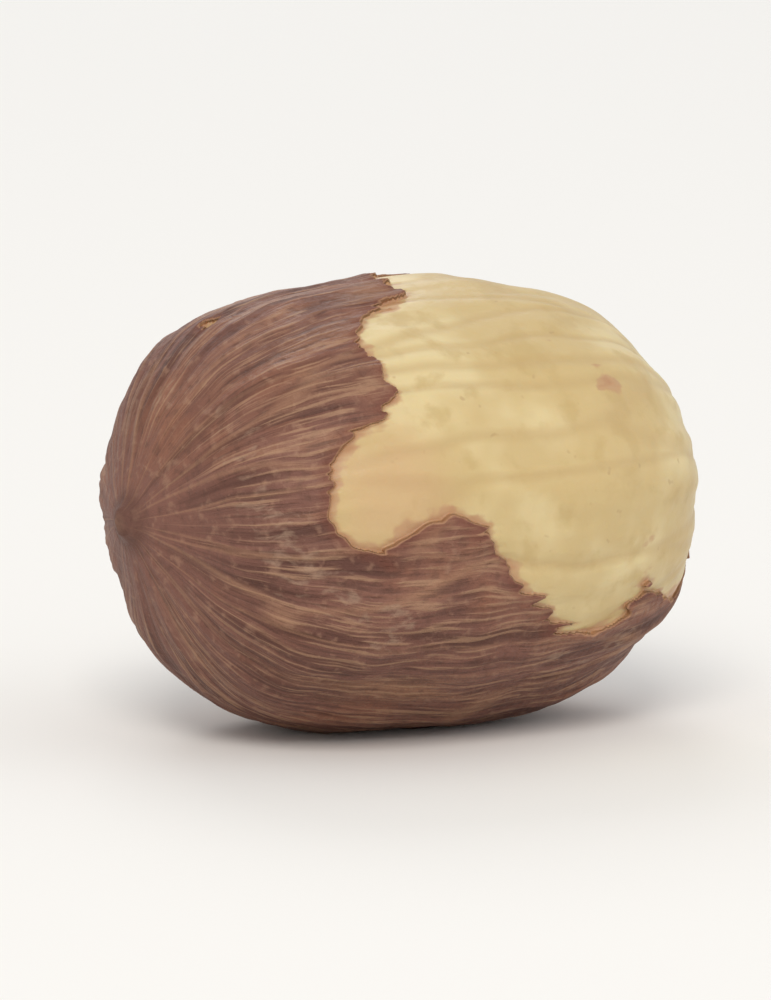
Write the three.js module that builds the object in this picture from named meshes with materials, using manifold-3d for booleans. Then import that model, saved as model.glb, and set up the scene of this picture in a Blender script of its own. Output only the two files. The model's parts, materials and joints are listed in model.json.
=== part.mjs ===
// A shelled hazelnut kernel with its papery brown skin on, lying on its side.
//
// Millimetres, +Z up. The kernel's long axis runs along X, with the broad base at +X and the tip at -X,
// dipped a little so that the tip is the lower end. The origin is the middle of the bounding box's
// underside, on the small flat spot that the kernel rests on.
//
// The kernel grew as one piece, so it is one closed solid: a sphere whose poles are the base and the
// tip, drawn out to the kernel's profile and fluted as a dried seed is. A patch of skin has flaked off
// the front, from the middle towards the base and up over the crest, and the flesh lies lower there.

import * as THREE from "three";
import { mergeVertices } from "three/addons/utils/BufferGeometryUtils.js";
import Module from "manifold-3d";

// Driving dimensions.
const BASE_LENGTH = 8.0; // from the widest ring to the base
const TIP_LENGTH = 8.6; // from the widest ring to the tip, without its nib
const RADIUS = 6.65; // of the widest ring, before it is squeezed
const SQUEEZE = 0.965; // height over width of the cross-section
const DIP_DEGREES = 1; // how far the long axis dips towards the tip
const REST_DEPTH = 0.22; // how deep the flat resting spot is cut
const SKIN = 0.15; // how far the bare flesh lies under the surface of the skin

// Both ends are blunter than an ellipsoid's, and the root tip makes a small point on one of them.
const BASE_BLUNTNESS = 0.78; // 1 is round, less is flatter
const TIP_BLUNTNESS = 0.76;
const NIB = { height: 0.65, spread: 0.16 }; // the root tip, spread as a share of the radius
const SCAR = { depth: 0.22, spread: 0.32 }; // the dimple at the base, spread in the same way
const TIP_LEAN = { y: -0.3, z: 0.2 }; // the tip stands a little off the axis

// Lobes and flutes round the long axis: how many, how deep, and where the first crest is.
const LOBES = [
  { count: 2, depth: 0.08, crest: 0.5 },
  { count: 3, depth: 0.12, crest: 1.9 },
  { count: 5, depth: 0.05, crest: 0.7 },
  { count: 9, depth: 0.04, crest: 2.4 },
  { count: 14, depth: 0.025, crest: 1.1 },
];

// The seam between the two halves of the seed shows as a shallow groove down each side.
const SEAM = { round: -2.3, depth: 0.2, spread: 0.14, farSide: 0.6 };

// Bare flesh, where the skin has flaked off: balls that join into one patch, less the balls where skin
// still holds on. A centre is given in degrees, from the base's end of the axis and round the axis.
const FLAKED = [
  { fromBase: 90, round: 144, radius: 3.3 },
  { fromBase: 80, round: 172, radius: 3.4 },
  { fromBase: 92, round: 130, radius: 2.75 },
  { fromBase: 82, round: 96, radius: 2.9 },
  { fromBase: 112, round: 168, radius: 1.85 },
  { fromBase: 103, round: 158, radius: 1.5 },
  { fromBase: 97, round: 165, radius: 1.6 },
  { fromBase: 77, round: -166, radius: 2.1 },
  { fromBase: 65, round: 109, radius: 3.4 },
  { fromBase: 50, round: 130, radius: 3 },
  { fromBase: 42, round: 161, radius: 3.2 },
  { fromBase: 42, round: -174, radius: 2.6 },
];
const HELD = [{ fromBase: 103, round: -169, radius: 1.7 }];

// Facets round the long axis, and from one end to the other.
const AROUND = 64;
const ALONG = 36;

const wasm = await Module();
wasm.setup();

// A geometry as a manifold-3d solid, and a solid back as a geometry.
function toSolid(geometry) {
  const bare = geometry.clone();
  bare.deleteAttribute("normal");
  bare.deleteAttribute("uv");
  const merged = mergeVertices(bare);
  return new wasm.Manifold(
    new wasm.Mesh({
      numProp: 3,
      vertProperties: new Float32Array(merged.attributes.position.array),
      triVerts: new Uint32Array(merged.index.array),
    }),
  );
}

function toGeometry(solid) {
  const mesh = solid.getMesh();
  const geometry = new THREE.BufferGeometry();
  geometry.setAttribute("position", new THREE.BufferAttribute(mesh.vertProperties, 3));
  geometry.setIndex(new THREE.BufferAttribute(mesh.triVerts, 1));
  geometry.computeVertexNormals();
  return geometry;
}

// A hump or dimple round the axis, which fades away as the ring's radius grows past its spread.
function endBump(size, spread, out) {
  return size * Math.exp(-((out / spread) ** 2));
}

// Where the profile is at an angle from the base: the place along the axis, and the ring's radius.
function profile(fromBase) {
  const along = Math.cos(fromBase);
  const out = Math.abs(Math.sin(fromBase));
  if (along > 0) {
    const x = BASE_LENGTH * along ** BASE_BLUNTNESS - endBump(SCAR.depth, SCAR.spread, out);
    return { x, radius: RADIUS * out ** BASE_BLUNTNESS };
  }
  const x = -TIP_LENGTH * (-along) ** TIP_BLUNTNESS - endBump(NIB.height, NIB.spread, out);
  return { x, radius: RADIUS * out ** TIP_BLUNTNESS };
}

// How deep the seam's groove is at an angle round the axis, as a share of its full depth.
function groove(round, centre) {
  const away = Math.atan2(Math.sin(round - centre), Math.cos(round - centre));
  return Math.exp(-((away / SEAM.spread) ** 2));
}

// How far the surface stands out of its ring at an angle round the axis.
function relief(round, fromBase) {
  let height = 0;
  for (const { count, depth, crest } of LOBES) {
    height += depth * Math.cos(count * round - crest);
  }
  height -= SEAM.depth * groove(round, SEAM.round);
  height -= SEAM.depth * SEAM.farSide * groove(round, SEAM.round + Math.PI);
  return height * Math.sin(fromBase) ** 2;
}

// The point of the skin at an angle from the base and an angle round the axis, both in radians.
function onSkin(fromBase, round) {
  const { x, radius } = profile(fromBase);
  const out = radius + relief(round, fromBase);
  const lean = Math.max(0, -x / TIP_LENGTH) ** 2;
  return new THREE.Vector3(
    x,
    out * Math.cos(round) + TIP_LEAN.y * lean,
    out * Math.sin(round) * SQUEEZE + TIP_LEAN.z * lean,
  );
}

// The outside of the skin, on its own axis, which is X.
function skinSurface() {
  const ball = new THREE.SphereGeometry(1, AROUND, ALONG);
  ball.deleteAttribute("normal");
  ball.deleteAttribute("uv");
  const geometry = mergeVertices(ball);
  const points = geometry.attributes.position;
  for (let i = 0; i < points.count; i += 1) {
    // The ball's poles lie on Y, and the kernel's on X.
    const fromBase = Math.acos(THREE.MathUtils.clamp(points.getY(i), -1, 1));
    const round = Math.atan2(points.getX(i), points.getZ(i));
    const point = onSkin(fromBase, round);
    points.setXYZ(i, point.x, point.y, point.z);
  }
  geometry.computeVertexNormals();
  return geometry;
}

// The same surface drawn in by a depth.
function drawnIn(surface, depth) {
  const geometry = surface.clone();
  const points = geometry.attributes.position;
  const normals = geometry.attributes.normal;
  for (let i = 0; i < points.count; i += 1) {
    const point = new THREE.Vector3().fromBufferAttribute(points, i);
    const normal = new THREE.Vector3().fromBufferAttribute(normals, i);
    point.addScaledVector(normal, -depth);
    points.setXYZ(i, point.x, point.y, point.z);
  }
  return geometry;
}

// Balls centred on the skin, joined into one solid.
function balls(places) {
  const solids = places.map(({ fromBase, round, radius }) => {
    const toRadians = THREE.MathUtils.degToRad;
    const centre = onSkin(toRadians(fromBase), toRadians(round));
    const ball = new THREE.SphereGeometry(radius, 36, 18);
    return toSolid(ball.translate(centre.x, centre.y, centre.z));
  });
  return wasm.Manifold.union(solids);
}

// Moves a geometry so that its box stands on z = 0, centred on the origin.
function standOnOrigin(geometry) {
  geometry.computeBoundingBox();
  const { min, max } = geometry.boundingBox;
  return geometry.translate(-(min.x + max.x) / 2, -(min.y + max.y) / 2, -min.z);
}

function makeKernel() {
  const surface = skinSurface();
  const flesh = toSolid(drawnIn(surface, SKIN));
  const flaked = balls(FLAKED).subtract(balls(HELD));
  const whole = toGeometry(toSolid(surface).subtract(flaked).add(flesh));
  whole.rotateY(THREE.MathUtils.degToRad(-DIP_DEGREES));
  standOnOrigin(whole).translate(0, 0, -REST_DEPTH);

  const size = 4 * TIP_LENGTH;
  const table = new THREE.BoxGeometry(size, size, size).translate(0, 0, -size / 2);
  return standOnOrigin(toGeometry(toSolid(whole).subtract(toSolid(table))));
}

const skin = new THREE.MeshStandardMaterial({
  name: "kernel_skin",
  color: 0x7e5240,
  roughness: 0.6,
  metalness: 0,
});

const kernel = new THREE.Mesh(makeKernel(), skin);
kernel.name = "kernel";

const hazelnut = new THREE.Group();
hazelnut.name = "hazelnut";
hazelnut.add(kernel);

export default hazelnut;
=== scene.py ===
"""A shelled hazelnut kernel with its brown skin on, lying on its side, with a patch of skin flaked off.

The kernel is one piece. It starts as a ball whose poles are the kernel's base and tip. Its flutes and
its rings are shaped one by one, it is subdivided, more finely along the patch's edge, and then one
modifier wrinkles the skin, tears it away from the patch and bares the flesh.
"""

import json
import math

import bmesh
import bpy
from mathutils import Euler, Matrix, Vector

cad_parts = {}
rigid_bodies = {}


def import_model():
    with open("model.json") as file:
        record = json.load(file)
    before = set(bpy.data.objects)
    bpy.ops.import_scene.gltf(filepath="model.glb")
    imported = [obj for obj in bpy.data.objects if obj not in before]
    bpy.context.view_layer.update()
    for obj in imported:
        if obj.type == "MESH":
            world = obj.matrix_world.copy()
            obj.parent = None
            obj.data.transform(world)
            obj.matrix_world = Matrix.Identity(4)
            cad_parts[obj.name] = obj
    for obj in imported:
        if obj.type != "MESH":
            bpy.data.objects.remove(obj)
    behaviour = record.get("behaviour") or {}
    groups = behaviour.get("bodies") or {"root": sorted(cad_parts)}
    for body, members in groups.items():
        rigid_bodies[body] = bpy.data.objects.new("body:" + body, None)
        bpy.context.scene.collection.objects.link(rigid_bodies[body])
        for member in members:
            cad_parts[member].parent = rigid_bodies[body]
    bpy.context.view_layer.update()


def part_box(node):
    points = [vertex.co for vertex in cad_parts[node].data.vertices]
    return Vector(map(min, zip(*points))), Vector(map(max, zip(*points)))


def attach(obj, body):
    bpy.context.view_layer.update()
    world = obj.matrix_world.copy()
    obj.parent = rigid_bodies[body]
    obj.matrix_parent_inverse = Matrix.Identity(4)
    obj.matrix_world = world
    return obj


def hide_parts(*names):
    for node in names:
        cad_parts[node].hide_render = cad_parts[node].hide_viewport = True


# Sizes are in millimetres and Blender's unit is the metre, so they are multiplied by this.
MM = 0.001

# The kernel's own measurements, the same as its solid has. DIP is in degrees.
BASE_LENGTH = 8.0
TIP_LENGTH = 8.6
RADIUS = 6.65
SQUEEZE = 0.965
DIP = 1.0
MIDDLE = Vector((0.73, 0.0, 6.18))
BASE_BLUNTNESS = 0.78
TIP_BLUNTNESS = 0.76
NIB_HEIGHT = 0.65
NIB_SPREAD = 0.16
SCAR_DEPTH = 0.22
SCAR_SPREAD = 0.32
TIP_LEAN_Y = -0.3
TIP_LEAN_Z = 0.2

# Lobes and flutes round the axis, as how many, how deep, and where the first crest is in radians. The
# solid's finest flutes are left out, because the ribs stand for them. The seam between the seed's
# halves, also in radians, is a groove down one side and a shallower one down the far side.
LOBES = ((2, 0.08, 0.5), (3, 0.12, 1.9), (5, 0.05, 0.7), (9, 0.04, 2.4))
SEAM = -2.3
SEAM_DEPTH = 0.2
SEAM_SPREAD = 0.14
SEAM_FAR_SIDE = 0.6

# Balls on the skin, as degrees from the base, degrees round the axis and a radius in millimetres.
# Those of the patch join into one, with a lobe towards the tip, and where a tongue of skin still holds
# on, a ball is left out. The nicks are small holes rubbed through the skin.
PATCH_LOBE = (112, 168, 1.85)
PATCH = (
    (90, 144, 3.3),
    (80, 172, 3.4),
    (92, 130, 2.75),
    (82, 96, 2.9),
    PATCH_LOBE,
    (103, 158, 1.5),
    (97, 165, 1.6),
    (77, -166, 2.1),
    (65, 109, 3.4),
    (50, 130, 3.0),
    (42, 161, 3.2),
    (42, -174, 2.6),
)
TONGUE = (103, -169, 1.7)
NICKS = (
    (62, -62, 0.5),
    (65, -58, 0.35),
    (118, 32, 0.45),
    (96, -92, 0.35),
    (80, 48, 0.6),
    (76, 52, 0.45),
    (128, 84, 0.3),
)

# The round mark on the base, where the kernel was fed, and the tip's dark point.
MARK = (0, 0, 1.6)
POINT = (180, 0, 1.0)

# Fibres and the like, as their spacing at the widest ring and their length, in millimetres. The
# threads of real skin are about 0.03 mm apart, and these are as coarse as they need to be to show.
RIB = (2.2, 9.0)
WRINKLE = (0.7, 3.2)
CREASE = (0.4, 1.3)
VEIN = (2.1, 11.0)
STREAK = (0.9, 5.0)
THREAD = (0.15, 1.8)
FLAKE = (0.3, 0.5)
TOOTH = (0.5, 2.6)

# In millimetres, how far the skin stands above the flesh, how wide the torn edge's wall is, how deep
# the bump of the threads is, and how far the deepest hollow lies under the solid's surface.
SKIN_THICKNESS = 0.09
WALL = 0.07
THREAD_BUMP = 0.095
SUNK = 0.41

# What each point of the kernel keeps for the material to read.
MARKS = ("bare", "ribs", "wrinkles", "veins")

# Facets of the ball before it is subdivided.
RINGS = 22
MERIDIANS = 38
SUBDIVISIONS = 3
EDGE_CUTS = 3

# Where the camera stands: degrees round the kernel, degrees up, and metres away. Its lens is in mm.
VIEW_ROUND = -30
VIEW_UP = 8
VIEW_AWAY = 0.176
LENS = 300


def linear(hex_colour):
    """An sRGB hex colour as the linear colour that a shader takes."""
    parts = [int(hex_colour[i : i + 2], 16) / 255 for i in (1, 3, 5)]
    bright = [p / 12.92 if p <= 0.04045 else ((p + 0.055) / 1.055) ** 2.4 for p in parts]
    return (*bright, 1)


def first_shown(sockets):
    """A node's first socket that its settings leave in use."""
    return next(s for s in sockets if s.enabled)


def add(tree, kind, inputs=None, **settings):
    """Adds a node with its settings, and links or sets its inputs, by name or by number."""
    node = tree.nodes.new(kind)
    for name, value in settings.items():
        setattr(node, name, value)
    sockets = [s for s in node.inputs if s.enabled]
    for key, value in (inputs or {}).items():
        socket = sockets[key] if isinstance(key, int) else next(s for s in sockets if s.name == key)
        if isinstance(value, bpy.types.Node):
            value = first_shown(value.outputs)
        if isinstance(value, bpy.types.NodeSocket):
            tree.links.new(value, socket)
        else:
            socket.default_value = value
    return node


# ---------------------------------------------------------------------------------------------------
# Shape of the kernel, before its skin is wrinkled


def end_bump(size, spread, out):
    """A hump or dimple round the axis, which fades as the ring's share of the radius grows."""
    return size * math.exp(-((out / spread) ** 2))


def profile(from_base):
    """The place along the axis and the ring's radius, in millimetres, at an angle from the base."""
    along = math.cos(from_base)
    out = abs(math.sin(from_base))
    if along > 0:
        x = BASE_LENGTH * along**BASE_BLUNTNESS - end_bump(SCAR_DEPTH, SCAR_SPREAD, out)
        return x, RADIUS * out**BASE_BLUNTNESS
    x = -TIP_LENGTH * (-along) ** TIP_BLUNTNESS - end_bump(NIB_HEIGHT, NIB_SPREAD, out)
    return x, RADIUS * out**TIP_BLUNTNESS


def flute(round_axis):
    """How far the widest ring stands out, in millimetres, at an angle round the axis."""
    height = sum(depth * math.cos(count * round_axis - crest) for count, depth, crest in LOBES)
    for centre, share in ((SEAM, 1), (SEAM + math.pi, SEAM_FAR_SIDE)):
        away = math.remainder(round_axis - centre, 2 * math.pi)
        height -= SEAM_DEPTH * share * math.exp(-((away / SEAM_SPREAD) ** 2))
    return height


def on_skin(from_base, round_axis):
    """A point of the skin, in millimetres from the kernel's middle along its own axes."""
    x, radius = profile(from_base)
    out = radius + flute(round_axis) * math.sin(from_base) ** 2
    return Vector((x, out * math.cos(round_axis), out * math.sin(round_axis) * SQUEEZE))


def select(mesh, numbers):
    """In edit mode, selects these vertices and no others."""
    edited = bmesh.from_edit_mesh(mesh)
    for vertex in edited.verts:
        vertex.select = vertex.index in numbers
    edited.select_flush_mode()
    bmesh.update_edit_mesh(mesh)


def grouped(mesh, key):
    """The vertices of a mesh, by number, in groups that share a key."""
    groups = {}
    for vertex in mesh.vertices:
        groups.setdefault(key(vertex.co / MM - MIDDLE), set()).add(vertex.index)
    return groups


def ring_number(place):
    """Which ring of the ball a place is on, counted from the base."""
    share = max(-1, min(1, place.x / RADIUS))
    return round(math.acos(share) / math.pi * RINGS)


def flute_number(place):
    """Which meridian of the ball a place is on, or None at a pole."""
    if math.hypot(place.y, place.z) < 0.01:
        return None
    return round(math.atan2(place.z, place.y) / (2 * math.pi) * MERIDIANS) % MERIDIANS


def shape_kernel():
    """A ball with its poles at the base and the tip, shaped flute by flute and ring by ring."""
    bpy.ops.object.select_all(action="DESELECT")
    bpy.ops.mesh.primitive_uv_sphere_add(
        segments=MERIDIANS,
        ring_count=RINGS,
        radius=RADIUS * MM,
        location=MIDDLE * MM,
        rotation=(0, math.pi / 2, 0),
    )
    kernel = bpy.context.object
    kernel.name = "hazelnut_kernel"
    bpy.ops.object.transform_apply(location=True, rotation=True, scale=True)
    rings = grouped(kernel.data, ring_number)
    flutes = grouped(kernel.data, flute_number)

    bpy.ops.object.mode_set(mode="EDIT")
    for number, members in flutes.items():
        if number is not None:
            stand = 1 + flute(2 * math.pi * number / MERIDIANS) / RADIUS
            select(kernel.data, members)
            bpy.ops.transform.resize(value=(1, stand, stand), center_override=MIDDLE * MM)
    for number, members in rings.items():
        from_base = math.pi * number / RINGS
        x, radius = profile(from_base)
        narrow = radius / (RADIUS * math.sin(from_base)) if 0 < number < RINGS else 1
        lean = max(0, -x / TIP_LENGTH) ** 2
        along = x - RADIUS * math.cos(from_base)
        move = Vector((along, TIP_LEAN_Y * lean, TIP_LEAN_Z * lean))
        select(kernel.data, members)
        bpy.ops.transform.resize(value=(1, narrow, narrow * SQUEEZE), center_override=MIDDLE * MM)
        bpy.ops.transform.translate(value=move * MM)
    bpy.ops.mesh.select_all(action="SELECT")
    bpy.ops.transform.rotate(value=math.radians(DIP), orient_axis="Y", center_override=MIDDLE * MM)
    bpy.ops.object.mode_set(mode="OBJECT")

    smooth = kernel.modifiers.new("smooth", "SUBSURF")
    smooth.levels = SUBDIVISIONS
    smooth.render_levels = SUBDIVISIONS
    bpy.ops.object.modifier_apply(modifier=smooth.name)
    bpy.ops.object.shade_smooth()
    return kernel


# ---------------------------------------------------------------------------------------------------
# Patterns that the skin's relief and its colours share


def own_place(tree, place):
    """A place turned into millimetres from the kernel's middle along its own axes."""
    moved = add(tree, "ShaderNodeVectorMath", {0: place, 1: MIDDLE * MM}, operation="SUBTRACT")
    scaled = add(tree, "ShaderNodeVectorMath", {0: moved, "Scale": 1 / MM}, operation="SCALE")
    turn = {"Vector": scaled, "Rotation": Euler((0, math.radians(DIP), 0))}
    straight = add(tree, "ShaderNodeVectorRotate", turn, rotation_type="EULER_XYZ")
    # The tip leans, and so do the fibres that meet at it.
    along = add(tree, "ShaderNodeSeparateXYZ", {0: straight}).outputs["X"]
    share = {0: along, 1: -1 / TIP_LENGTH}
    share = add(tree, "ShaderNodeMath", share, operation="MULTIPLY", use_clamp=True)
    bend = add(tree, "ShaderNodeMath", {0: share, 1: 2.0}, operation="POWER")
    lean = {0: (0.0, TIP_LEAN_Y, TIP_LEAN_Z), "Scale": bend}
    lean = add(tree, "ShaderNodeVectorMath", lean, operation="SCALE")
    return add(tree, "ShaderNodeVectorMath", {0: straight, 1: lean}, operation="SUBTRACT")


def ring_share(tree, place):
    """How far a place is from the axis, as a share of the widest ring's radius."""
    parts = add(tree, "ShaderNodeSeparateXYZ", {0: place})
    across = add(tree, "ShaderNodeCombineXYZ", {"Y": parts.outputs["Y"], "Z": parts.outputs["Z"]})
    away = add(tree, "ShaderNodeVectorMath", {0: across}, operation="LENGTH").outputs["Value"]
    return add(tree, "ShaderNodeMath", {0: away, 1: 1 / RADIUS}, operation="MULTIPLY")


def wandering(tree, place, wavelength, reach, seed):
    """A place moved about by up to half of reach, so that a pattern read there wanders."""
    inputs = {"Vector": place, "W": seed, "Scale": 1 / wavelength, "Detail": 2.0}
    noise = add(tree, "ShaderNodeTexNoise", inputs, noise_dimensions="4D")
    centred = {0: noise.outputs["Color"], 1: (0.5, 0.5, 0.5)}
    shift = add(tree, "ShaderNodeVectorMath", centred, operation="SUBTRACT")
    shift = add(tree, "ShaderNodeVectorMath", {0: shift, "Scale": reach}, operation="SCALE")
    return add(tree, "ShaderNodeVectorMath", {0: place, 1: shift}, operation="ADD")


def fibre_place(tree, here):
    """A place moved about so that fibres wander, and less so near the ends, where they all meet."""
    reach = add(tree, "ShaderNodeMath", {0: ring_share(tree, here), 1: 1.8}, operation="MULTIPLY")
    return wandering(tree, here, wavelength=5.0, reach=reach, seed=1.0)


def grain(tree, place, size):
    """A place in a pattern drawn out from the base to the tip, as the kernel's fibres are."""
    spacing, length = size
    parts = add(tree, "ShaderNodeSeparateXYZ", {0: place})
    across = add(tree, "ShaderNodeCombineXYZ", {"Y": parts.outputs["Y"], "Z": parts.outputs["Z"]})
    outward = add(tree, "ShaderNodeVectorMath", {0: across}, operation="NORMALIZE")
    ring = add(tree, "ShaderNodeVectorMath", {0: outward, "Scale": RADIUS / spacing}, operation="SCALE")
    along = add(tree, "ShaderNodeMath", {0: parts.outputs["X"], 1: 1 / length}, operation="MULTIPLY")
    lengthways = add(tree, "ShaderNodeCombineXYZ", {"X": along})
    return add(tree, "ShaderNodeVectorMath", {0: ring, 1: lengthways}, operation="ADD")


def fibres(tree, place, size, detail):
    """A pattern of fibres, from about 0.3 in the hollows to about 0.7 on the ridges."""
    inputs = {"Vector": grain(tree, place, size), "Scale": 1.0, "Detail": detail}
    return add(tree, "ShaderNodeTexNoise", inputs)


def blotches(tree, place, size, detail, seed):
    """A pattern of blotches of about one size, from about 0.3 to about 0.7."""
    inputs = {"Vector": place, "W": seed, "Scale": 1 / size, "Detail": detail}
    return add(tree, "ShaderNodeTexNoise", inputs, noise_dimensions="4D")


# ---------------------------------------------------------------------------------------------------
# Relief of the skin and the flesh


def inside_ball(tree, place, ball):
    """How far a place lies inside one of the balls listed above, in millimetres."""
    from_base, round_axis, radius = ball
    centre = on_skin(math.radians(from_base), math.radians(round_axis))
    away = add(tree, "ShaderNodeVectorMath", {0: place, 1: centre}, operation="DISTANCE")
    return add(tree, "ShaderNodeMath", {0: radius, 1: away.outputs["Value"]}, operation="SUBTRACT")


def torn_teeth(tree, here, wander):
    """How far the torn edge is moved, in millimetres, because skin tears along its fibres.

    The teeth are long in places, and shorter towards the ends, where the fibres crowd.
    """
    teeth = fibres(tree, wander, TOOTH, detail=2.0)
    spread = {"Value": teeth, "From Min": 0.3, "From Max": 0.7, "To Min": -0.28, "To Max": 0.28}
    tooth = add(tree, "ShaderNodeMapRange", spread)
    uneven = blotches(tree, here, size=1.8, detail=1.0, seed=13.0)
    spread = {"Value": uneven, "From Min": 0.38, "From Max": 0.62, "To Min": 0.25, "To Max": 1.5}
    for share in (ring_share(tree, here), add(tree, "ShaderNodeMapRange", spread)):
        tooth = add(tree, "ShaderNodeMath", {0: tooth, 1: share}, operation="MULTIPLY")
    return tooth


def bareness(tree, here, wander):
    """How far a place lies inside bare flesh, in millimetres, and below zero under skin."""
    ragged = wandering(tree, here, wavelength=2.2, reach=0.8, seed=3.0)
    ragged = wandering(tree, ragged, wavelength=0.6, reach=0.3, seed=4.0)
    # The balls melt into one another, so the patch has rounded bays and not sharp ones.
    depth = inside_ball(tree, ragged, PATCH[0])
    for ball in PATCH[1:]:
        joined = {0: depth, 1: inside_ball(tree, ragged, ball), 2: 0.4}
        depth = add(tree, "ShaderNodeMath", joined, operation="SMOOTH_MAX")
    outside = {0: 0.0, 1: inside_ball(tree, ragged, TONGUE)}
    outside = add(tree, "ShaderNodeMath", outside, operation="SUBTRACT")
    depth = add(tree, "ShaderNodeMath", {0: depth, 1: outside, 2: 0.3}, operation="SMOOTH_MIN")

    tooth = torn_teeth(tree, here, wander)
    depth = add(tree, "ShaderNodeMath", {0: depth, 1: tooth}, operation="ADD")
    for ball in NICKS:
        nick = {0: inside_ball(tree, ragged, ball), 1: tooth}
        nick = add(tree, "ShaderNodeMath", nick, operation="ADD")
        depth = add(tree, "ShaderNodeMath", {0: depth, 1: nick}, operation="MAXIMUM")
    return depth


def new_modifier(kernel, name):
    """An empty node group on the kernel, with its start and end."""
    tree = bpy.data.node_groups.new(name, "GeometryNodeTree")
    tree.interface.new_socket("Geometry", in_out="INPUT", socket_type="NodeSocketGeometry")
    tree.interface.new_socket("Geometry", in_out="OUTPUT", socket_type="NodeSocketGeometry")
    kernel.modifiers.new(name, "NODES").node_group = tree
    return tree, tree.nodes.new("NodeGroupInput"), tree.nodes.new("NodeGroupOutput")


def store(tree, geometry, name, value):
    """Keeps a value at every point, under a name that the material reads."""
    inputs = {"Geometry": geometry, "Name": name, "Value": value}
    return add(tree, "GeometryNodeStoreNamedAttribute", inputs, data_type="FLOAT", domain="POINT")


def mark_patch(kernel):
    """Marks how far each point lies inside the bare flesh."""
    tree, start, end = new_modifier(kernel, "mark_patch")
    here = own_place(tree, add(tree, "GeometryNodeInputPosition"))
    wander = fibre_place(tree, here)
    marked = store(tree, start, "bare", bareness(tree, here, wander))
    tree.links.new(marked.outputs[0], end.inputs[0])
    bpy.ops.object.modifier_apply(modifier="mark_patch")


def refine_edge(kernel):
    """Subdivides the faces that the patch's edge runs through, so that the tear comes out crisp."""
    inside = [value.value > 0 for value in kernel.data.attributes["bare"].data]
    bpy.ops.object.mode_set(mode="EDIT")
    bpy.ops.mesh.select_mode(type="FACE")
    bpy.ops.mesh.select_all(action="DESELECT")
    edited = bmesh.from_edit_mesh(kernel.data)
    for face in edited.faces:
        face.select = len({inside[vertex.index] for vertex in face.verts}) == 2
    bmesh.update_edit_mesh(kernel.data)
    bpy.ops.mesh.select_more()
    bpy.ops.mesh.subdivide(number_cuts=EDGE_CUTS)
    bpy.ops.object.mode_set(mode="OBJECT")


def stacked(tree, total, layers):
    """Adds heights in millimetres to a total, each as its pattern goes from one value to another."""
    for pattern, low, high, height in layers:
        spread = {"Value": pattern, "From Min": low, "From Max": high, "To Max": height}
        raised = add(tree, "ShaderNodeMapRange", spread, interpolation_type="SMOOTHSTEP")
        total = add(tree, "ShaderNodeMath", {0: total, 1: raised}, operation="ADD")
    return total


def relief(tree, here, wander, bare, ribs, wrinkles, veins):
    """How far a point stands out of the smooth kernel, in metres."""
    # Ribs crowd together towards the ends, so they are lower there too.
    crowded = {"Value": ring_share(tree, here), "From Max": 0.85}
    calm = add(tree, "ShaderNodeMapRange", crowded, interpolation_type="SMOOTHSTEP")

    # The skin and the flesh share the large shapes.
    dents = blotches(tree, here, size=4.5, detail=1.0, seed=5.0)
    under = stacked(tree, 0.0, ((ribs, 0.3, 0.7, 0.13), (wrinkles, 0.3, 0.7, 0.05)))
    under = add(tree, "ShaderNodeMath", {0: under, 1: calm}, operation="MULTIPLY")
    under = stacked(tree, under, ((dents, 0.3, 0.7, 0.2),))

    # The skin has fine ones of its own, and it lifts a little along the tear. The mark is sunk, and the
    # tip's point stands out.
    crooked = wandering(tree, wander, wavelength=1.5, reach=0.5, seed=2.0)
    creases = fibres(tree, crooked, CREASE, detail=2.0)
    fine = ((wrinkles, 0.35, 0.7, 0.04), (creases, 0.35, 0.65, 0.03), (veins, 0.06, 0.0, 0.04))
    skin = stacked(tree, 0.0, fine)
    skin = add(tree, "ShaderNodeMath", {0: skin, 1: calm}, operation="MULTIPLY")
    mark = inside_ball(tree, here, MARK)
    point = inside_ball(tree, here, POINT)
    places = ((bare, -0.5, -0.02, 0.02), (mark, -0.25, 0.1, -0.04), (point, 0.1, 1.0, 0.28))
    skin = stacked(tree, skin, places)
    skin = add(tree, "ShaderNodeMath", {0: skin, 1: SKIN_THICKNESS}, operation="ADD")
    flesh = stacked(tree, 0.0, ((veins, 0.1, 0.0, -0.03),))

    torn = {"Value": bare, "From Min": -WALL / 2, "From Max": WALL / 2}
    torn = add(tree, "ShaderNodeMapRange", torn, interpolation_type="SMOOTHSTEP")
    height = add(tree, "ShaderNodeMix", {"Factor": torn, "A": skin, "B": flesh})
    height = add(tree, "ShaderNodeMath", {0: under, 1: height}, operation="ADD")
    height = add(tree, "ShaderNodeMath", {0: height, 1: SUNK}, operation="SUBTRACT")
    return add(tree, "ShaderNodeMath", {0: height, 1: MM}, operation="MULTIPLY")


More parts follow.
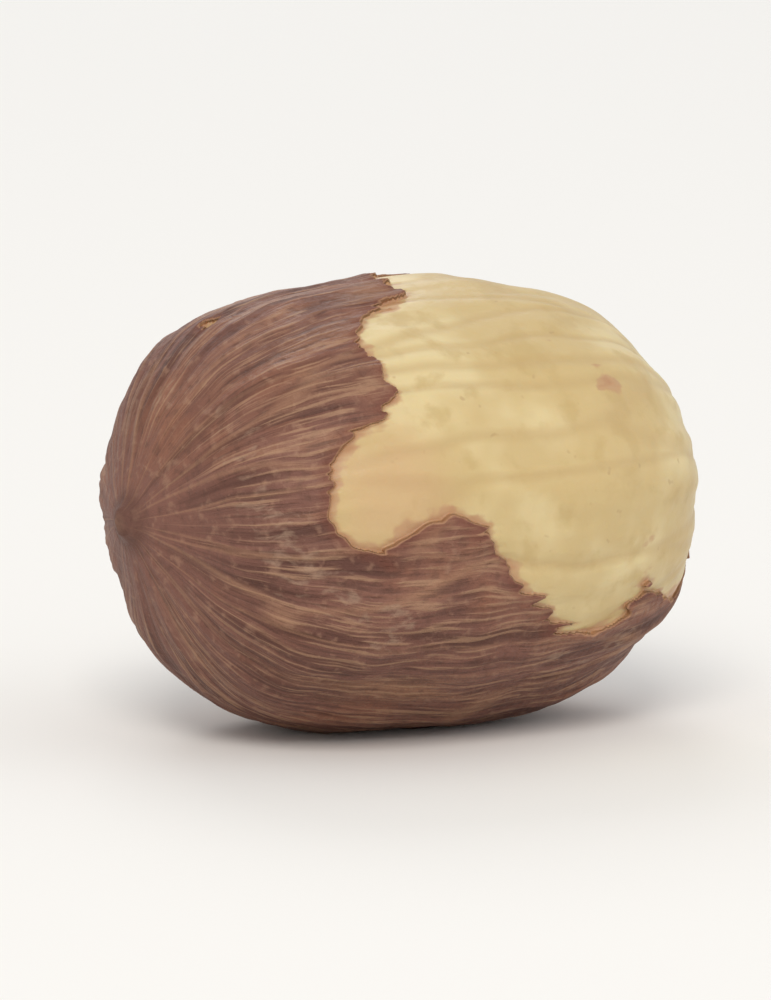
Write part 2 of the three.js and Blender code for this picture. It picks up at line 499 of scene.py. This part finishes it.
def wrinkle_skin(kernel):
    """Raises the skin's ribs, wrinkles and veins, and lowers the flesh under the torn edge."""
    tree, start, end = new_modifier(kernel, "wrinkle_skin")
    here = own_place(tree, add(tree, "GeometryNodeInputPosition"))
    wander = fibre_place(tree, here)
    # Veins are the edges of long cells, so they branch and join again.
    cells = {"Vector": grain(tree, wander, VEIN), "Scale": 1.0}
    patterns = (
        bareness(tree, here, wander),
        fibres(tree, wander, RIB, detail=1.0),
        fibres(tree, wander, WRINKLE, detail=3.0),
        add(tree, "ShaderNodeTexVoronoi", cells, feature="DISTANCE_TO_EDGE"),
    )
    height = relief(tree, here, wander, *patterns)
    normal = add(tree, "GeometryNodeInputNormal")
    offset = add(tree, "ShaderNodeVectorMath", {0: normal, "Scale": height}, operation="SCALE")

    kept = start
    for name, pattern in zip(MARKS, patterns):
        kept = store(tree, kept, name, pattern)
    moved = add(tree, "GeometryNodeSetPosition", {"Geometry": kept, "Offset": offset})

    # What the kernel rests on flattens its lowest spot.
    place = add(tree, "ShaderNodeSeparateXYZ", {0: add(tree, "GeometryNodeInputPosition")})
    level = add(tree, "ShaderNodeMath", {0: place.outputs["Z"], 1: 0.0}, operation="MAXIMUM")
    flat = {"X": place.outputs["X"], "Y": place.outputs["Y"], "Z": level}
    rested = {"Geometry": moved, "Position": add(tree, "ShaderNodeCombineXYZ", flat)}
    rested = add(tree, "GeometryNodeSetPosition", rested)
    tree.links.new(rested.outputs[0], end.inputs[0])
    bpy.ops.object.modifier_apply(modifier="wrinkle_skin")


# ---------------------------------------------------------------------------------------------------
# Skin and flesh as they look


def painted(tree, under, coats):
    """Lays colours over one another, each as its pattern goes from one value to another."""
    for colour, pattern, low, high, strength in coats:
        spread = {"Value": pattern, "From Min": low, "From Max": high, "To Max": strength}
        share = add(tree, "ShaderNodeMapRange", spread, interpolation_type="SMOOTHSTEP")
        coat = {"Factor": share, "A": under, "B": linear(colour)}
        under = add(tree, "ShaderNodeMix", coat, data_type="RGBA")
    return under


def calmed(tree, calm, pattern):
    """A pattern of fibres that fades to its middle value towards the ends, where fibres crowd."""
    return add(tree, "ShaderNodeMix", {"Factor": calm, "A": 0.5, "B": pattern})


def skin_patterns(tree, here, wander):
    """The patterns that the skin's colours, its shine and its bump follow, by name."""
    crowded = {"Value": ring_share(tree, here), "From Min": 0.05, "From Max": 0.7}
    calm = add(tree, "ShaderNodeMapRange", crowded)

    # Scurf comes off in small flakes, and more of it where the skin is rubbed.
    crooked = wandering(tree, wander, wavelength=0.7, reach=0.5, seed=8.0)
    flakes = calmed(tree, calm, fibres(tree, crooked, FLAKE, detail=4.0))
    rubbed = blotches(tree, here, size=2.6, detail=2.0, seed=12.0)
    rubbed = add(tree, "ShaderNodeMapRange", {"Value": rubbed, "From Min": 0.42, "From Max": 0.62})
    uneven = wandering(tree, here, wavelength=0.8, reach=0.9, seed=11.0)
    return {
        "patches": blotches(tree, here, size=3.5, detail=3.0, seed=6.0),
        "papery": blotches(tree, here, size=0.32, detail=6.0, seed=7.0),
        "streaks": calmed(tree, calm, fibres(tree, wander, STREAK, detail=5.0)),
        "threads": calmed(tree, calm, fibres(tree, wander, THREAD, detail=5.0)),
        "scurf": add(tree, "ShaderNodeMath", {0: flakes, 1: rubbed}, operation="MULTIPLY"),
        "mark": inside_ball(tree, uneven, MARK),
        "point": inside_ball(tree, here, POINT),
    }


def skin_colour(tree, marks, patterns):
    """Brown skin, darker in its hollows partly by painted shade, with paler fibres, a pale mark in a
    dark ring and a dark point.
    """
    coats = (
        ("#8C5C45", patterns["patches"], 0.45, 0.65, 0.7),
        ("#54332A", patterns["streaks"], 0.5, 0.32, 0.75),
        ("#A07458", patterns["streaks"], 0.53, 0.72, 0.7),
        # Darker in the hollows between ribs and wrinkles: partly the skin's own colour, partly painted
        # shade.
        ("#5C3A2E", marks["ribs"], 0.46, 0.32, 0.4),
        ("#482A21", marks["wrinkles"], 0.45, 0.3, 0.45),
        ("#5E3D31", patterns["mark"], -0.5, -0.1, 0.5),
        ("#98765F", patterns["mark"], -0.1, 0.3, 0.7),
        ("#5E3D31", patterns["papery"], 0.47, 0.32, 0.45),
        ("#A07A63", patterns["papery"], 0.54, 0.7, 0.45),
        ("#4A2D24", patterns["threads"], 0.47, 0.33, 0.5),
        ("#B08A6C", patterns["threads"], 0.52, 0.65, 0.55),
        ("#A37A5E", marks["veins"], 0.05, 0.0, 0.45),
        ("#AC8F78", patterns["scurf"], 0.48, 0.68, 0.45),
        ("#56372D", patterns["point"], -0.4, 0.4, 0.6),
        ("#8C6B58", patterns["point"], 0.55, 0.95, 0.5),
        ("#74402F", marks["bare"], -0.45, -0.05, 0.5),
        ("#B88D6B", marks["bare"], -0.07, -0.01, 0.7),
    )
    return painted(tree, linear("#7B5245"), coats)


def flesh_colour(tree, here, wander, marks, patches):
    """Cream flesh, where a thin tan film of inner skin clings near the torn edge and on the lobe."""
    specks = blotches(tree, here, size=0.35, detail=1.0, seed=10.0)
    film = blotches(tree, wander, size=1.0, detail=5.0, seed=9.0)
    near = {"Value": marks["bare"], "From Min": 1.1, "From Max": 0.1}
    near = add(tree, "ShaderNodeMapRange", near)
    film_near = add(tree, "ShaderNodeMath", {0: film, 1: near}, operation="MULTIPLY")
    uneven = wandering(tree, here, wavelength=1.2, reach=1.4, seed=14.0)
    coats = (
        ("#DBC99A", patches, 0.45, 0.62, 0.85),
        ("#BBA06A", film, 0.5, 0.68, 0.55),
        ("#BEA270", marks["veins"], 0.12, 0.0, 0.5),
        ("#AC8B62", specks, 0.7, 0.78, 0.45),
        ("#CDA181", inside_ball(tree, uneven, PATCH_LOBE), -0.8, 1.2, 0.32),
        ("#B98E6C", film_near, 0.4, 0.5, 0.7),
        ("#B0805C", marks["bare"], 0.22, 0.0, 0.75),
    )
    return painted(tree, linear("#C9B17E"), coats)


def skin_over_flesh():
    """Dry seed skin, brown and fibrous, and waxy cream flesh where it has flaked off.

    The skin looks dull and papery, with a faint sheen on its paler streaks. The flesh looks smoother,
    and soft, because a little light passes into it.
    """
    material = bpy.data.materials.new("hazelnut_skin_over_flesh")
    material.use_nodes = True
    tree = material.node_tree
    shader = tree.nodes["Principled BSDF"]

    here = own_place(tree, add(tree, "ShaderNodeTexCoord").outputs["Object"])
    wander = fibre_place(tree, here)
    marks = {}
    for name in MARKS:
        marks[name] = add(tree, "ShaderNodeAttribute", attribute_name=name).outputs["Fac"]
    patterns = skin_patterns(tree, here, wander)
    torn = {"Value": marks["bare"], "From Min": -0.015, "From Max": 0.015}
    torn = add(tree, "ShaderNodeMapRange", torn)

    skin = skin_colour(tree, marks, patterns)
    flesh = flesh_colour(tree, here, wander, marks, patterns["patches"])
    colour = add(tree, "ShaderNodeMix", {"Factor": torn, "A": skin, "B": flesh}, data_type="RGBA")
    tree.links.new(first_shown(colour.outputs), shader.inputs["Base Color"])

    streaks = patterns["streaks"]
    sheen = {"Value": streaks, "From Min": 0.35, "From Max": 0.65, "To Min": 0.68, "To Max": 0.5}
    sheen = add(tree, "ShaderNodeMapRange", sheen)
    rough = add(tree, "ShaderNodeMix", {"Factor": torn, "A": sheen, "B": 0.4})
    tree.links.new(first_shown(rough.outputs), shader.inputs["Roughness"])

    papery = patterns["papery"]
    fine = add(tree, "ShaderNodeMath", {0: papery, 1: 1.6}, operation="MULTIPLY")
    fine = add(tree, "ShaderNodeMath", {0: patterns["threads"], 1: fine}, operation="ADD")
    waxy = add(tree, "ShaderNodeMath", {0: papery, 1: 0.3}, operation="MULTIPLY")
    surface = add(tree, "ShaderNodeMix", {"Factor": torn, "A": fine, "B": waxy})
    bump = {"Height": surface, "Strength": 1.0, "Distance": THREAD_BUMP * MM}
    tree.links.new(add(tree, "ShaderNodeBump", bump).outputs["Normal"], shader.inputs["Normal"])

    # Nut oil and wax bend light by about this much, and dry skin shines less than they do.
    shader.inputs["IOR"].default_value = 1.47
    shader.inputs["Specular IOR Level"].default_value = 0.4
    soft = add(tree, "ShaderNodeMath", {0: torn, 1: 0.25}, operation="MULTIPLY")
    tree.links.new(first_shown(soft.outputs), shader.inputs["Subsurface Weight"])
    shader.inputs["Subsurface Radius"].default_value = (1.0, 0.6, 0.3)
    shader.inputs["Subsurface Scale"].default_value = 0.8 * MM
    return material


def make_kernel():
    """The finished kernel."""
    kernel = shape_kernel()
    mark_patch(kernel)
    refine_edge(kernel)
    wrinkle_skin(kernel)
    kernel.data.materials.append(skin_over_flesh())
    return kernel


# ---------------------------------------------------------------------------------------------------
# Floor, light and camera


def hang_light(name, place, aim, size, power, colour):
    """A soft square light that faces a point, in metres and watts."""
    light = bpy.data.lights.new(name, "AREA")
    light.size = size
    light.energy = power
    light.color = linear(colour)[:3]
    holder = bpy.data.objects.new(name, light)
    bpy.context.scene.collection.objects.link(holder)
    holder.location = place
    holder.rotation_euler = (Vector(place) - aim).to_track_quat("Z", "Y").to_euler()


def lay_floor():
    """A wide floor of pale paper, matt so that the kernel casts a shadow but no reflection."""
    bpy.ops.object.select_all(action="DESELECT")
    bpy.ops.mesh.primitive_plane_add(size=8.0, location=(0, 0, 0))
    floor = bpy.context.object
    floor.name = "floor"
    paper = bpy.data.materials.new("pale_paper")
    paper.use_nodes = True
    shader = paper.node_tree.nodes["Principled BSDF"]
    shader.inputs["Base Color"].default_value = linear("#F0EFEC")
    shader.inputs["Roughness"].default_value = 0.9
    floor.data.materials.append(paper)


def studio(aim):
    """Soft light from the left, and a long lens that looks a little down on the kernel."""
    hang_light("key", (-0.45, -0.65, 0.75), aim, 0.45, 5.6, "#FFF9F2")
    hang_light("fill", (0.75, -0.5, 0.3), aim, 0.6, 0.8, "#F2F6FF")
    hang_light("rim", (0.3, 0.9, 0.7), aim, 0.5, 2.4, "#FFFFFF")

    world = bpy.context.scene.world or bpy.data.worlds.new("studio")
    bpy.context.scene.world = world
    world.use_nodes = True
    world.node_tree.nodes["Background"].inputs["Color"].default_value = linear("#F2F2F2")
    world.node_tree.nodes["Background"].inputs["Strength"].default_value = 0.75
    bpy.context.scene.view_settings.view_transform = "Standard"

    lens = bpy.data.cameras.new("camera")
    lens.sensor_fit = "HORIZONTAL"
    lens.sensor_width = 36
    lens.lens = LENS
    lens.clip_start = 0.001
    lens.dof.use_dof = False
    camera = bpy.data.objects.new("camera", lens)
    bpy.context.scene.collection.objects.link(camera)
    tilt = Euler((math.radians(90 - VIEW_UP), 0, math.radians(VIEW_ROUND)))
    camera.rotation_euler = tilt
    back = tilt.to_matrix() @ Vector((0, 0, 1))
    camera.location = aim + VIEW_AWAY * back
    bpy.context.scene.camera = camera


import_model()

kernel = make_kernel()
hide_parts("kernel")
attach(kernel, "root")

low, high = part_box("kernel")
lay_floor()
studio((low + high) / 2)
